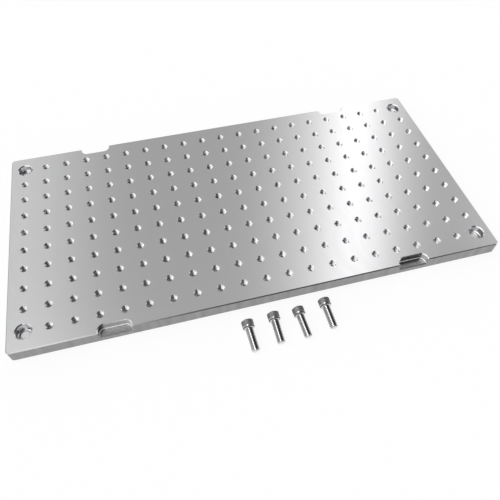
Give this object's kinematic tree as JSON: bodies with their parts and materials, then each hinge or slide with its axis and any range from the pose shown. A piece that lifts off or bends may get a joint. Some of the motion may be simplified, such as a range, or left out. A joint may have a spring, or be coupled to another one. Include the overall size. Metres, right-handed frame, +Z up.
{
  "type": "machining pallet",
  "caption": "Flat metal machining pallet with a grid of tapped holes, counterbored corner holes, clamp notches in its long edges and loose socket head cap screws.",
  "frame": {"origin": "centre of the plate's bottom face, on the table it rests on", "axes": "+X along the plate's length, +Y from the side where the loose screws lie to the far side, +Z up through the work face"},
  "size_m": [0.4064, 0.2423, 0.0127],
  "materials": {
    "plate": "fine milled, satin",
    "screws": "bright, knurled head"
  },
  "bodies": {
    "root": {"pallet_plate": "plate", "mounting_screws": "screws"}
  },
  "joints": []
}
